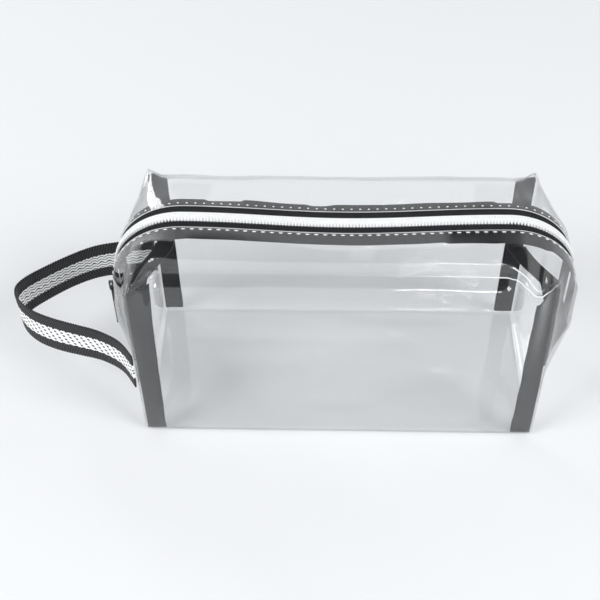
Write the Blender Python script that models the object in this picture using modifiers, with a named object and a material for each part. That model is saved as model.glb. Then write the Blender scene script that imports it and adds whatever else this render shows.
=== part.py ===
"""Clear boxy makeup bag: a sheet PVC pouch with a zip over the top and down both ends.

Metres, +Z up. The origin is on the floor, midway between the four corner seams. The bag's
length runs along X with the handle loop at -X, and its front faces -Y.
"""
import math

import bmesh
import bpy
from mathutils import Vector

# Driving dimensions of the pouch, from seam to seam.
LENGTH = 0.220
DEPTH = 0.098
HEIGHT = 0.115
SHEET = 0.0005          # thickness of the PVC sheet
GAP = 0.0003            # air left between neighbouring pieces

# The zip line runs straight up each end, round a wide corner and along the top.
SEAM_Z = 0.0575         # height of the seam across each end
CORNER_R = 0.0378       # radius of the zip line at the top corners
CORNER_Z = 0.0825       # height of the corner's centre
CORNER_X_LEFT = -0.0843
CORNER_X_RIGHT = 0.0875
TOP_SAG = 0.0035        # how far the zip sinks at mid-length
RIM_R = 0.005           # corner radius of the front and back walls

# Zip: woven tapes, moulded coils, slider and pull.
TAPE_IN = 0.0028        # tape's inner and outer edges, from the zip's centre line
TAPE_OUT = 0.0160
TAPE_THICK = 0.0006
COIL_IN = 0.0006
COIL_OUT = 0.0036
COIL_LOW = 0.0006       # coil's bottom and top above the middle of the tape
COIL_HIGH = 0.0022
FLAP_EDGE = 0.0083      # cut edge of the PVC flaps, from the zip's centre line
FLAP_LOW = 0.0006       # underside of the flaps above the middle of the tape
ZIP_END_Z = 0.0590      # where the tapes and coils end above the end seams

SLIDER_Z = 0.0690
SLIDER_LENGTH = 0.0090
SLIDER_WIDTH = 0.0096
SLIDER_LOW = -0.0016
SLIDER_HIGH = 0.0035
SLIDER_WALL = 0.0009
WEB_HALF = 0.0003
CROWN_HALF_WIDTH = 0.0008
CROWN_HALF_LENGTH = 0.0034
CROWN_LEG = 0.0011
CROWN_HIGH = 0.0069
CROWN_BAR = 0.0008
PULL_AXIS_HIGH = 0.0052
PULL_HEAD = 0.0005      # how far the pull's head reaches past its axis
PULL_LENGTH = 0.0285
PULL_HALF_WIDTH = 0.0027
PULL_THICK = 0.0008
PULL_EYE_HALF_WIDTH = 0.00115
PULL_EYE_FOOT = 0.0042
PULL_SLOT_HALF_WIDTH = 0.0013
PULL_SLOT_TOP = 0.0115
PULL_FOOT_BAR = 0.003   # solid end below the slot

# Binding tape folded over the seam allowances.
BINDING_WIDTH = 0.011
BINDING_THICK = 0.0014
BINDING_TOP = 0.1098
SEAM_STITCH_IN = 0.0018 # seam stitching, from the binding's inner edge
THREAD_R = 0.00025
STITCH_LINE = 0.0105    # top stitching, from the zip's centre line

# Handle: webbing on edge, both ends sewn into the left corner seams.
STRAP_WIDTH = 0.025
STRAP_THICK = 0.0015
STRAP_Z_BACK = 0.0455
STRAP_Z_FRONT = 0.0525
STRAP_STEPS = 4         # smooth steps between two points of the strap's route

HALF_X = LENGTH / 2
HALF_Y = DEPTH / 2
INNER_Y = HALF_Y - SHEET - GAP
FLAP_HIGH = FLAP_LOW + SHEET
FLAP_FOLD = TAPE_OUT + 2 * GAP  # the flaps lie flat on the tape this far out
ARC_STEPS = 8
TOP_STEPS = 12


def clear_scene():
    for obj in list(bpy.data.objects):
        bpy.data.objects.remove(obj, do_unlink=True)


def make_collection(name):
    collection = bpy.data.collections.new(name)
    bpy.context.scene.collection.children.link(collection)
    return collection


def make_material(name, colour, roughness, metallic=0.0, alpha=1.0):
    material = bpy.data.materials.new(name)
    material.use_nodes = True
    shader = material.node_tree.nodes["Principled BSDF"]
    shader.inputs["Base Color"].default_value = (*colour, 1.0)
    shader.inputs["Roughness"].default_value = roughness
    shader.inputs["Metallic"].default_value = metallic
    shader.inputs["Alpha"].default_value = alpha
    material.diffuse_color = (*colour, alpha)
    return material


def add_object(name, data, material):
    obj = bpy.data.objects.new(name, data)
    if material:
        data.materials.append(material)
    BAG.objects.link(obj)
    return obj


def make_cutter(obj):
    """Turn an object into a hidden cutter in the cutters' collection."""
    BAG.objects.unlink(obj)
    CUTTERS.objects.link(obj)
    obj.hide_render = True
    obj.display_type = "WIRE"
    return obj


def add_block(name, low, high, material, bevel=0.0):
    """A box from corner to corner, with its edges rounded if a bevel is given."""
    bm = bmesh.new()
    bmesh.ops.create_cube(bm, size=1.0)
    size = [top - bottom for bottom, top in zip(low, high)]
    middle = [(top + bottom) / 2 for bottom, top in zip(low, high)]
    bmesh.ops.scale(bm, vec=size, verts=bm.verts)
    bmesh.ops.translate(bm, vec=middle, verts=bm.verts)
    if bevel:
        bmesh.ops.bevel(bm, geom=list(bm.edges), offset=bevel, segments=2, affect="EDGES", profile=0.5)
    mesh = bpy.data.meshes.new(name)
    bm.to_mesh(mesh)
    bm.free()
    return add_object(name, mesh, material)


def solidify(obj, thickness, offset):
    modifier = obj.modifiers.new("Thickness", "SOLIDIFY")
    modifier.thickness = thickness
    modifier.offset = offset
    modifier.use_even_offset = True


def add_loft(name, lines, material, thickness, offset=-1.0):
    """A sheet stretched over lines of points, given its thickness behind its face."""
    bm = bmesh.new()
    rows = [[bm.verts.new(point) for point in line] for line in lines]
    for lower, upper in zip(rows, rows[1:]):
        for index in range(len(lower) - 1):
            bm.faces.new((lower[index], lower[index + 1], upper[index + 1], upper[index]))
    mesh = bpy.data.meshes.new(name)
    bm.to_mesh(mesh)
    bm.free()
    obj = add_object(name, mesh, material)
    solidify(obj, thickness, offset)
    return obj


def add_tube(name, points, radius, material):
    """A thread: a round tube along a line of points, with its ends closed."""
    curve = bpy.data.curves.new(name, "CURVE")
    curve.dimensions = "3D"
    curve.bevel_depth = radius
    curve.bevel_resolution = 1
    curve.use_fill_caps = True
    spline = curve.splines.new("POLY")
    spline.points.add(len(points) - 1)
    for target, point in zip(spline.points, points):
        target.co = (*point, 1.0)
    return add_object(name, curve, material)


def add_ribbon(name, line, edge_a, edge_b, thickness, material):
    """A band of constant section along a line of (x, z) points, from one Y to another."""
    curve = bpy.data.curves.new(name, "CURVE")
    curve.dimensions = "2D"
    curve.fill_mode = "NONE"
    curve.extrude = abs(edge_b - edge_a) / 2
    spline = curve.splines.new("POLY")
    spline.points.add(len(line) - 1)
    for target, (x, z) in zip(spline.points, line):
        target.co = (x, z, 0.0, 1.0)
    obj = add_object(name, curve, material)
    obj.rotation_euler = (math.radians(90), 0.0, 0.0)
    obj.location = (0.0, (edge_a + edge_b) / 2, 0.0)
    solidify(obj, thickness, 0.0)
    return obj


def add_plate(name, outlines, thickness, material):
    """A flat plate of closed outlines in the XY plane; the inner outlines are holes."""
    curve = bpy.data.curves.new(name, "CURVE")
    curve.dimensions = "2D"
    curve.fill_mode = "BOTH"
    curve.extrude = thickness / 2
    for outline in outlines:
        spline = curve.splines.new("POLY")
        spline.points.add(len(outline) - 1)
        for target, (x, y) in zip(spline.points, outline):
            target.co = (x, y, 0.0, 1.0)
        spline.use_cyclic_u = True
    return add_object(name, curve, material)


def rounded_outline(left, right, bottom, top, radius, steps=4):
    """A rectangle with round corners, as points."""
    points = []
    centres = ((right - radius, bottom + radius, -90), (right - radius, top - radius, 0),
               (left + radius, top - radius, 90), (left + radius, bottom + radius, 180))
    for centre_x, centre_y, start in centres:
        for step in range(steps + 1):
            angle = math.radians(start + 90 * step / steps)
            points.append((centre_x + radius * math.cos(angle), centre_y + radius * math.sin(angle)))
    return points


# ---- The zip's line and the walls' rim -------------------------------------------------

def end_run(side, rise, bottom=SEAM_Z):
    """Zip line up one end and round its corner, rise above the tape, from the bottom up."""
    centre_x = CORNER_X_LEFT if side < 0 else CORNER_X_RIGHT
    radius = CORNER_R + rise
    points = [(centre_x + side * radius, bottom)]
    for step in range(ARC_STEPS + 1):
        angle = math.radians(90 * step / ARC_STEPS)
        points.append((centre_x + side * radius * math.cos(angle), CORNER_Z + radius * math.sin(angle)))
    return points


def top_run(rise):
    """Zip line along the top from left to right, sinking at mid-length."""
    points = []
    left = CORNER_X_LEFT + GAP
    right = CORNER_X_RIGHT - GAP
    for step in range(TOP_STEPS + 1):
        part = step / TOP_STEPS
        sag = TOP_SAG * math.sin(math.pi * part) ** 2
        points.append((left + (right - left) * part, CORNER_Z + CORNER_R + rise - sag))
    return points


def whole_run(rise):
    """The whole zip line from the left end seam to the right one."""
    left = end_run(-1, rise, ZIP_END_Z)
    right = end_run(1, rise, ZIP_END_Z)
    return left[:-1] + top_run(rise) + right[-2::-1]


def rim_end(side):
    """Corner seam and round top corner of a wall at one end, matching end_run."""
    points = [(side * HALF_X, SEAM_Z)]
    for step in range(ARC_STEPS + 1):
        angle = math.radians(90 * step / ARC_STEPS)
        points.append((side * (HALF_X - RIM_R + RIM_R * math.cos(angle)),
                       HEIGHT + GAP - RIM_R + RIM_R * math.sin(angle)))
    return points


def rim_top():
    """Top edge of a wall, matching top_run."""
    half = HALF_X - RIM_R - GAP
    return [(-half + 2 * half * step / TOP_STEPS, HEIGHT + GAP) for step in range(TOP_STEPS + 1)]


def at_depth(line, y):
    return [(x, y, z) for x, z in line]


def end_plan(side, inset=0.0):
    """Plan of one end at its seam, front to back: it stands proud where the zip comes down."""
    corner_x = HALF_X - inset
    centre_x = CORNER_X_LEFT if side < 0 else CORNER_X_RIGHT
    middle_x = abs(centre_x) + CORNER_R + FLAP_HIGH - inset
    half = INNER_Y
    return [(side * corner_x, -half), (side * middle_x, -FLAP_FOLD),
            (side * middle_x, FLAP_FOLD), (side * corner_x, half)]


# ---- Clear PVC sheet: one cut and folded piece, modelled region by region ----------------

def build_sheet(pvc):
    add_block("pvc_base", (-HALF_X + SHEET + GAP, -INNER_Y, 0.0),
              (HALF_X - SHEET - GAP, INNER_Y, SHEET), pvc)
    for name, side in (("front", -1), ("back", 1)):
        outline = rounded_outline(-HALF_X, HALF_X, -RIM_R, HEIGHT, RIM_R)
        square_foot = [(x, max(z, 0.0)) for x, z in outline if z > -RIM_R / 2]
        wall = add_plate(f"pvc_{name}_wall", [tidy(square_foot)], SHEET, pvc)
        wall.rotation_euler = (math.radians(90), 0.0, 0.0)
        wall.location = (0.0, side * (HALF_Y - SHEET / 2), 0.0)
        add_flaps(name, side, pvc)
    for name, side in (("left", -1), ("right", 1)):
        foot = [(side * HALF_X, y, 0.0) for _, y in end_plan(side)]
        head = [(x, y, SEAM_Z - GAP) for x, y in end_plan(side)]
        lines = (head, foot) if side < 0 else (foot, head)
        add_loft(f"pvc_{name}_end_lower", lines, pvc, SHEET)


def tidy(points):
    """Drop points that repeat the one before."""
    kept = []
    for point in points:
        if not kept or (Vector(point) - Vector(kept[-1])).length > GAP:
            kept.append(point)
    return kept


def add_flaps(name, side, pvc):
    """Top flap and the two upper end flaps of the front (-1) or back (+1)."""
    strips = {f"pvc_top_{name}": (rim_top(), top_run(FLAP_HIGH)),
              f"pvc_left_end_{name}": (rim_end(-1), end_run(-1, FLAP_HIGH)),
              f"pvc_right_end_{name}": (rim_end(1)[::-1], end_run(1, FLAP_HIGH)[::-1])}
    for node, (rim, zip_edge) in strips.items():
        lines = [at_depth(rim, side * INNER_Y), at_depth(zip_edge, side * FLAP_FOLD),
                 at_depth(zip_edge, side * FLAP_EDGE)]
        if side > 0:
            lines.reverse()
        add_loft(node, lines, pvc, SHEET)


# ---- Zip -----------------------------------------------------------------------------------

def build_zip(tape, coil, metal):
    for name, side in (("front", -1), ("back", 1)):
        add_ribbon(f"zip_tape_{name}", whole_run(0.0), side * TAPE_IN, side * TAPE_OUT, TAPE_THICK, tape)
        coil_middle = (COIL_LOW + COIL_HIGH) / 2
        add_ribbon(f"zip_coil_{name}", whole_run(coil_middle), side * COIL_IN, side * COIL_OUT,
                   COIL_HIGH - COIL_LOW, coil)
    build_slider(metal)
    build_pull(metal)


def cut(target, low, high):
    cutter = make_cutter(add_block("slider_cutter", low, high, None))
    cutter.parent = target
    modifier = target.modifiers.new("Cut", "BOOLEAN")
    modifier.operation = "DIFFERENCE"
    modifier.object = cutter


def build_slider(metal):
    """Slider in its own frame: +X out of the tape, Y across the zip, +Z up the zip."""
    half_length = SLIDER_LENGTH / 2
    half_width = SLIDER_WIDTH / 2
    beyond = 0.002
    slot = TAPE_THICK / 2 + GAP
    body = add_block("slider_body", (SLIDER_LOW, -half_width, -half_length),
                     (SLIDER_HIGH, half_width, half_length), metal, bevel=0.0004)
    crown = add_block("slider_crown_block", (SLIDER_HIGH - SLIDER_WALL / 2, -CROWN_HALF_WIDTH, -CROWN_HALF_LENGTH),
                      (CROWN_HIGH, CROWN_HALF_WIDTH, CROWN_HALF_LENGTH), None, bevel=0.0003)
    make_cutter(crown).parent = body
    union = body.modifiers.new("Crown", "BOOLEAN")
    union.operation = "UNION"
    union.object = crown
    crown_inside = CROWN_HALF_LENGTH - CROWN_LEG
    cut(body, (SLIDER_HIGH, -beyond, -crown_inside), (CROWN_HIGH - CROWN_BAR, beyond, crown_inside))
    cavity_high = COIL_HIGH + GAP
    cavity_half = COIL_OUT + GAP
    web_top = -half_length + 0.003
    cut(body, (-slot, -cavity_half, web_top), (cavity_high, cavity_half, half_length + beyond))
    for side in (-1, 1):
        near, far = sorted((side * WEB_HALF, side * cavity_half))
        cut(body, (-slot, near, -half_length - beyond), (cavity_high, far, web_top + GAP))
        near, far = sorted((side * (cavity_half - GAP), side * (half_width + beyond)))
        cut(body, (-slot, near, -half_length - beyond), (slot, far, half_length + beyond))
    body.rotation_euler = (0.0, 0.0, math.pi)
    body.location = (CORNER_X_LEFT - CORNER_R, 0.0, SLIDER_Z)


def build_pull(metal):
    """Pull tab hanging from the crown: a stamped plate with an eye at its head and a slot."""
    plate = [rounded_outline(-PULL_HALF_WIDTH, PULL_HALF_WIDTH, -PULL_LENGTH, PULL_HEAD, 0.0004, 1)]
    plate.append(rounded_outline(-PULL_EYE_HALF_WIDTH, PULL_EYE_HALF_WIDTH, -PULL_EYE_FOOT, -PULL_HEAD,
                                 0.0003, 1)[::-1])
    plate.append(rounded_outline(-PULL_SLOT_HALF_WIDTH, PULL_SLOT_HALF_WIDTH, PULL_FOOT_BAR - PULL_LENGTH,
                                 -PULL_SLOT_TOP, 0.0012, 3)[::-1])
    pull = add_plate("pull_tab", plate, PULL_THICK, metal)
    pull.rotation_euler = (math.radians(90), 0.0, math.radians(90))
    pull.location = (CORNER_X_LEFT - CORNER_R - PULL_AXIS_HIGH, 0.0, SLIDER_Z)


# ---- Seams: binding tape and thread ------------------------------------------------------

def build_seams(binding, black_thread, white_thread):
    for end_name, end in (("left", -1), ("right", 1)):
        for face_name, face in (("front", -1), ("back", 1)):
            outer_x = end * (HALF_X - SHEET - 2 * GAP)
            inner_x = outer_x - end * BINDING_WIDTH
            outer_y = face * INNER_Y
            inner_y = outer_y - face * BINDING_THICK
            low_x, high_x = sorted((outer_x, inner_x))
            low_y, high_y = sorted((outer_y, inner_y))
            add_block(f"binding_{face_name}_{end_name}", (low_x, low_y, SHEET + GAP),
                      (high_x, high_y, BINDING_TOP), binding, bevel=0.0003)
            thread_x = inner_x + end * SEAM_STITCH_IN
            thread_y = inner_y - face * (GAP + THREAD_R)
            thread = [(thread_x, thread_y, 0.002), (thread_x, thread_y, BINDING_TOP - 0.001)]
            add_tube(f"seam_thread_{face_name}_{end_name}", thread, THREAD_R, black_thread)
        build_end_seam(end_name, end, binding, black_thread)
    for face_name, face in (("front", -1), ("back", 1)):
        line = at_depth(whole_run(FLAP_HIGH + GAP + THREAD_R), face * STITCH_LINE)
        add_tube(f"top_stitch_{face_name}", line, THREAD_R, white_thread)


def build_end_seam(end_name, end, binding, black_thread):
    """Bound seam across one end: a shelf of folded tape that stands into the bag."""
    clear_y = INNER_Y - BINDING_THICK - 2 * GAP - 2 * THREAD_R
    outer = clip_plan(end_plan(end, SHEET + 2 * GAP), clear_y)
    inner = clip_plan(end_plan(end, SHEET + 2 * GAP + BINDING_WIDTH), clear_y)
    shelf = add_plate(f"binding_{end_name}_end", [outer + inner[::-1]], BINDING_THICK, binding)
    shelf_z = ZIP_END_Z - GAP - BINDING_THICK / 2
    shelf.location = (0.0, 0.0, shelf_z)
    line = clip_plan(end_plan(end, SHEET + 2 * GAP + BINDING_WIDTH - SEAM_STITCH_IN), clear_y - 0.001)
    thread_z = shelf_z + BINDING_THICK / 2 + GAP + THREAD_R
    add_tube(f"seam_thread_{end_name}_end", [(x, y, thread_z) for x, y in line], THREAD_R, black_thread)


def clip_plan(plan, limit):
    """Shorten a four-point plan so that its ends stop at Y = -limit and +limit."""
    corner_x, corner_y = plan[-1]
    middle_x, middle_y = plan[-2]
    part = (limit - middle_y) / (corner_y - middle_y)
    end_x = middle_x + (corner_x - middle_x) * part
    return [(end_x, -limit), plan[1], plan[2], (end_x, limit)]


# ---- Handle --------------------------------------------------------------------------------

# Plan of the loop from the back corner seam to the front one.
STRAP_ROUTE = ((-0.1108, 0.0492), (-0.122, 0.0475), (-0.134, 0.0450), (-0.147, 0.0405),
               (-0.160, 0.0320), (-0.172, 0.0215), (-0.181, 0.0115), (-0.1838, 0.0030),
               (-0.1795, -0.0065), (-0.171, -0.0145), (-0.159, -0.0210), (-0.145, -0.0262),
               (-0.131, -0.0310), (-0.119, -0.0385), (-0.1108, -0.0492))


def smooth_route(route, steps):
    """Points on a Catmull-Rom curve through the route."""
    points = []
    padded = [2 * Vector(route[0]) - Vector(route[1])]
    padded += [Vector(point) for point in route]
    padded.append(2 * Vector(route[-1]) - Vector(route[-2]))
    for before, start, end, after in zip(padded, padded[1:], padded[2:], padded[3:]):
        for step in range(steps):
            t = step / steps
            points.append(0.5 * (2 * start + (end - before) * t
                                 + (2 * before - 5 * start + 4 * end - after) * t ** 2
                                 + (3 * start - before - 3 * end + after) * t ** 3))
    points.append(Vector(route[-1]))
    return points


def build_strap(webbing):
    plan = smooth_route(STRAP_ROUTE, STRAP_STEPS)
    upper = []
    lower = []
    for index, point in enumerate(plan):
        part = index / (len(plan) - 1)
        ease = part * part * (3 - 2 * part)
        middle = STRAP_Z_BACK + (STRAP_Z_FRONT - STRAP_Z_BACK) * ease
        upper.append((point.x, point.y, middle + STRAP_WIDTH / 2))
        lower.append((point.x, point.y, middle - STRAP_WIDTH / 2))
    add_loft("strap_webbing", (upper, lower), webbing, STRAP_THICK, offset=0.0)


clear_scene()
BAG = make_collection("makeup_bag")
CUTTERS = make_collection("cutters")
build_sheet(make_material("clear_pvc", (0.90, 0.93, 0.94), 0.05, alpha=0.25))
build_zip(make_material("zip_tape", (0.012, 0.012, 0.014), 0.85),
          make_material("zip_coil", (0.85, 0.87, 0.85), 0.35),
          make_material("slider_metal", (0.015, 0.015, 0.016), 0.35, metallic=0.6))
build_seams(make_material("binding_tape", (0.018, 0.018, 0.020), 0.80),
            make_material("black_thread", (0.015, 0.015, 0.016), 0.70),
            make_material("white_thread", (0.82, 0.82, 0.80), 0.60))
build_strap(make_material("webbing", (0.10, 0.10, 0.10), 0.85))
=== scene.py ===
"""Clear boxy makeup bag: what its pieces look like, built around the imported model.

Metres, +Z up. The front faces -Y and the handle loop is at -X.
"""
import math
import random

import bmesh
import bpy
from mathutils import Matrix, Vector, noise


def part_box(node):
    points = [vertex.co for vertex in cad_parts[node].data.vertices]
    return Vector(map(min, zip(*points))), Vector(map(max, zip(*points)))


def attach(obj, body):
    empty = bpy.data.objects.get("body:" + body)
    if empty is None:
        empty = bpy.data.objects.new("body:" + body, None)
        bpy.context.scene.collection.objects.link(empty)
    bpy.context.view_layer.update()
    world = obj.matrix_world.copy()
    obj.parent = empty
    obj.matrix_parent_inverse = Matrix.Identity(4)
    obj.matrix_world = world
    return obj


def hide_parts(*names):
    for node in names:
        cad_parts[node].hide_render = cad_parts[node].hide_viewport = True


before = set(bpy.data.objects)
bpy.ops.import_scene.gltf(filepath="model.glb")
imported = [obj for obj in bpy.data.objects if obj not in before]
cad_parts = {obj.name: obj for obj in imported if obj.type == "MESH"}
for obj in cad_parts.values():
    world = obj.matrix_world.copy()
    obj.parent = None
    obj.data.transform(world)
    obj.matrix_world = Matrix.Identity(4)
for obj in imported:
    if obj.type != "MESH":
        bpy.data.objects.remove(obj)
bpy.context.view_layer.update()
bpy.ops.object.select_all(action="DESELECT")


# ---- Camera, table and light ----------------------------------------------------------------
# A camera on a stand, looking down on the bag from the front. The bag stands on a pale
# table under a broad lamp, in a room whose walls are bright and whose ceiling is dim.
bpy.ops.object.camera_add()
camera = bpy.context.object
camera.name = "camera"
camera.matrix_world = (Matrix.Translation((-0.0079, -0.4295, 0.5079))
                       @ Matrix.Rotation(math.radians(1.92), 4, "Z")
                       @ Matrix.Rotation(math.radians(90 - 46.28), 4, "X")
                       @ Matrix.Rotation(math.radians(-0.736), 4, "Z"))
camera.data.lens = 66.15
camera.data.sensor_width = 36
camera.data.clip_start = 0.01
bpy.context.scene.camera = camera
bpy.context.scene.view_settings.view_transform = "Standard"
bpy.context.scene.cycles.transparent_max_bounces = 40

bpy.ops.mesh.primitive_plane_add(size=6, location=(0, 0, -0.0003))
table = bpy.context.object
table.name = "table"
table_finish = bpy.data.materials.new("pale_table")
table_finish.use_nodes = True
shader = table_finish.node_tree.nodes["Principled BSDF"]
shader.inputs["Base Color"].default_value = (0.84, 0.85, 0.865, 1)
shader.inputs["Roughness"].default_value = 0.6
shader.inputs["Specular IOR Level"].default_value = 0.2
table.data.materials.append(table_finish)

room = bpy.data.worlds.new("room")
bpy.context.scene.world = room
room.use_nodes = True
nodes = room.node_tree.nodes
links = room.node_tree.links
where = nodes.new("ShaderNodeTexCoord")
height_split = nodes.new("ShaderNodeSeparateXYZ")
walls = nodes.new("ShaderNodeValToRGB")
walls.color_ramp.elements[0].position = 0.0
walls.color_ramp.elements[0].color = (0.96, 0.98, 1.0, 1)
walls.color_ramp.elements[1].position = 1.0
walls.color_ramp.elements[1].color = (0.03, 0.03, 0.035, 1)
for position, level in ((0.72, 0.96), (0.84, 0.05)):
    stop = walls.color_ramp.elements.new(position)
    stop.color = (level * 0.97, level * 0.985, level, 1)
links.new(where.outputs["Generated"], height_split.inputs[0])
links.new(height_split.outputs["Z"], walls.inputs["Fac"])
links.new(walls.outputs["Color"], nodes["Background"].inputs["Color"])
nodes["Background"].inputs["Strength"].default_value = 1.0

for name, place, wide, tall, power in (("left_lamp", (-1.3, -0.8, 1.3), 0.8, 0.8, 15.0),
                                       ("right_lamp", (1.3, -0.8, 1.3), 0.8, 0.8, 15.0),
                                       ("front_strip", (0.34, -1.4, 1.35), 0.40, 0.07, 1.7),
                                       ("back_strip", (-0.95, 1.2, 0.66), 0.22, 0.70, 2.5)):
    bpy.ops.object.light_add(type="AREA", location=place)
    lamp = bpy.context.object
    lamp.name = name
    lamp.data.shape = "RECTANGLE"
    lamp.data.size = wide
    lamp.data.size_y = tall
    lamp.data.energy = power
    lamp.rotation_euler = (Vector((0, 0, 0.05)) - Vector(place)).to_track_quat("-Z", "Y").to_euler()


# ---- Clear sheet ------------------------------------------------------------------------------
# One sheet of clear PVC, half a millimetre thick, notched at the corners and folded into
# front, base, back, top flaps and ends. It is stiff enough to stand, and its folds are soft.
half_x, half_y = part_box("pvc_back_wall")[1].xy
bag_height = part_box("pvc_back_wall")[1].z
sheet_thick = 0.0005
seam_z = 0.0575
corner_r = 0.0378
corner_z = 0.0825
corner_left = -0.0843
corner_right = 0.0875
top_sag = 0.0035
zip_straight = corner_z - seam_z
zip_arc = corner_r * math.pi / 2
zip_top = corner_right - corner_left
zip_total = 2 * (zip_straight + zip_arc) + zip_top
outline_total = 2 * (bag_height - seam_z + half_x)
flap_rise = 0.0011
flap_edge = 0.0083
flat_on_tape = 0.0166
dent_x = 0.0985
dent_wide = 0.0045
dent_deep = 0.0050
pvc_index = 1.64
cut_step = 0.0025
tiny = 1e-5


def zip_point(travel, rise):
    """Place and outward direction on the zip's line, travel from the left seam, in (x, z)."""
    if travel > zip_total / 2 + zip_top / 2:
        side, centre, left_over = 1, corner_right, zip_total - travel
    else:
        side, centre, left_over = -1, corner_left, travel
    radius = corner_r + rise
    if left_over < zip_straight:
        return Vector((centre + side * radius, seam_z + left_over)), Vector((side, 0.0))
    if left_over < zip_straight + zip_arc:
        angle = (left_over - zip_straight) / corner_r
        out = Vector((side * math.cos(angle), math.sin(angle)))
        return Vector((centre, corner_z)) + out * radius, out
    part = (travel - zip_straight - zip_arc) / zip_top
    sag = top_sag * math.sin(math.pi * part) ** 2
    return Vector((corner_left + part * zip_top, corner_z + radius - sag)), Vector((0.0, 1.0))


def ease(value):
    """A smooth step: 0 up to 0, 1 from 1 on."""
    value = min(max(value, 0.0), 1.0)
    return value * value * (3 - 2 * value)


def soften(first, second, radius):
    """How far a box's sharp edge pulls in to make a soft one, from the ways to its two sides."""
    if min(first, second) > tiny or radius <= 0:
        return 0.0
    return 0.414 * radius * max(1 - max(first, second) / radius, 0.0) ** 2


def front_softness(x):
    """Radius of the front top fold: pinched at the two corner seams and wide between them."""
    left = ease((half_x + x - 0.003) / 0.014)
    right = ease((0.0965 - x) / 0.014)
    return 0.003 + 0.013 * min(left, right)


def front_lean(x):
    """How far the top of the front wall leans in: most in the middle, not at all at the dent."""
    if x > dent_x:
        return 0.0085 * ease((x - dent_x) / 0.009)
    return 0.0125 * ease((half_x + x - 0.002) / 0.014) * ease((dent_x - x) / 0.014)


def tape_sink(travel, face):
    """How far the tape's free edge sinks here, taking the flap with it."""
    return 0.0011 * ease(noise.noise(Vector((travel * 42, face * 5.0, 0.6))) / 0.16)


def shape_sheet(point):
    """Where a point of the plain box goes on the real bag."""
    x, y, z = point
    to_end = half_x - abs(x)
    to_side = half_y - abs(y)
    to_top = bag_height - z
    on_top = to_top < tiny
    on_end = to_end < tiny and not on_top
    side = 1 if x > 0 else -1
    face = 1 if y > 0 else -1
    reach = 1 - min(max((abs(y) - flat_on_tape) / (half_y - flat_on_tape), 0.0), 1.0)
    slack = 1 - reach
    reach = (0.75 * reach + 0.25 * ease(reach)) ** 1.35
    place = Vector(point)

    # the zip carries the top edges and the upper ends; the lower ends lean out to meet it
    if on_top or (on_end and z > seam_z - tiny):
        if on_top:
            outline = bag_height - seam_z + x + half_x
        else:
            outline = z - seam_z
            if side > 0:
                outline = outline_total - outline
        travel = outline * zip_total / outline_total
        lift = 0.0010 * max(noise.noise(Vector((travel * 31, face * 5.0, 7.6))), 0.0)
        loose = ease((abs(y) - 0.0100) / 0.006)
        target, _ = zip_point(travel, flap_rise + (lift - tape_sink(travel, face)) * loose)
        rounded = soften(to_end, to_top, 0.006)
        place.x += (target.x - (x - side * rounded)) * reach - side * rounded
        place.z += (target.y - (z - rounded)) * reach - rounded
    elif on_end:
        target, _ = zip_point(0 if side < 0 else zip_total, flap_rise)
        place.x += (target.x - x) * reach * (z / seam_z) ** 0.9

    # soft folds along the twelve edges
    radius = front_softness(x) if face < 0 else 0.003 + 0.009 * ease(to_end / 0.012)
    pull = soften(to_side, to_top, radius)
    base_pull = soften(to_side, z, 0.003)
    end_pull = soften(to_end, z, 0.003)
    corner_pull = soften(to_side, to_end, 0.0022)
    place.y -= face * (pull + base_pull + corner_pull)
    place.x -= side * (end_pull + corner_pull)
    place.z += base_pull + end_pull - pull

    # the front wall leans in at its top
    if face < 0 and z > tiny:
        lean = front_lean(x)
        place.y += lean * slack * (1 if on_top else (z / bag_height) ** 2.2)
        place.z += 0.0010 * ease(lean / 0.005) * (slack * reach * 4 if on_top else 0.0)
        dent = math.exp(-((x - dent_x - 0.002 * reach) / dent_wide) ** 2) * ease((half_x - x) / 0.006)
        place.z -= dent_deep * dent * (slack ** 0.7 if on_top else (z / bag_height) ** 6)
    return place + ripple(point, to_end, to_side, to_top, side, face)


def ripple(point, to_end, to_side, to_top, side, face):
    """Shallow waves in the panels, small puckers along the stitching, and a bulge in the flap."""
    x, y, z = point
    move = Vector((0.0, 0.0, 0.0))
    soft = Vector((x * 22, y * 22, z * 22))
    wave = noise.noise(soft + Vector((3.1, 0.4, 7.7))) + 0.35 * noise.noise(soft * 2.3)
    if to_top < tiny:
        fade = ease((abs(y) - flat_on_tape) / 0.010) * ease(to_side / 0.006) * ease(to_end / 0.012)
        move.z += 0.0012 * wave * fade
        if face < 0:
            bulge = math.exp(-((x + 0.104) / 0.011) ** 2) * ease((abs(y) - 0.0150) / 0.006)
            move.z += 0.0045 * bulge * min(to_side / 0.027, 1)
        pucker = math.exp(-((abs(y) - 0.013) / 0.004) ** 2)
        move.z += 0.00012 * pucker * noise.noise(Vector((x * 160, face * 3, 0)))
    elif to_end < tiny:
        fade = ease(to_side / 0.010) * ease(z / 0.012)
        fade *= 1 if z < seam_z else ease((abs(y) - flat_on_tape) / 0.010)
        move.x += side * 0.0010 * wave * fade
    elif to_side < tiny:
        move.y += face * 0.0013 * wave * ease(to_end / 0.012) * ease(z / 0.012)
    else:
        ridge = noise.noise(Vector((x * 14, y * 60, 5.1)))
        move.z += 0.0010 * max(ridge, 0.0) * ease(to_end / 0.015) * ease(to_side / 0.012)
    return move


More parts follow.
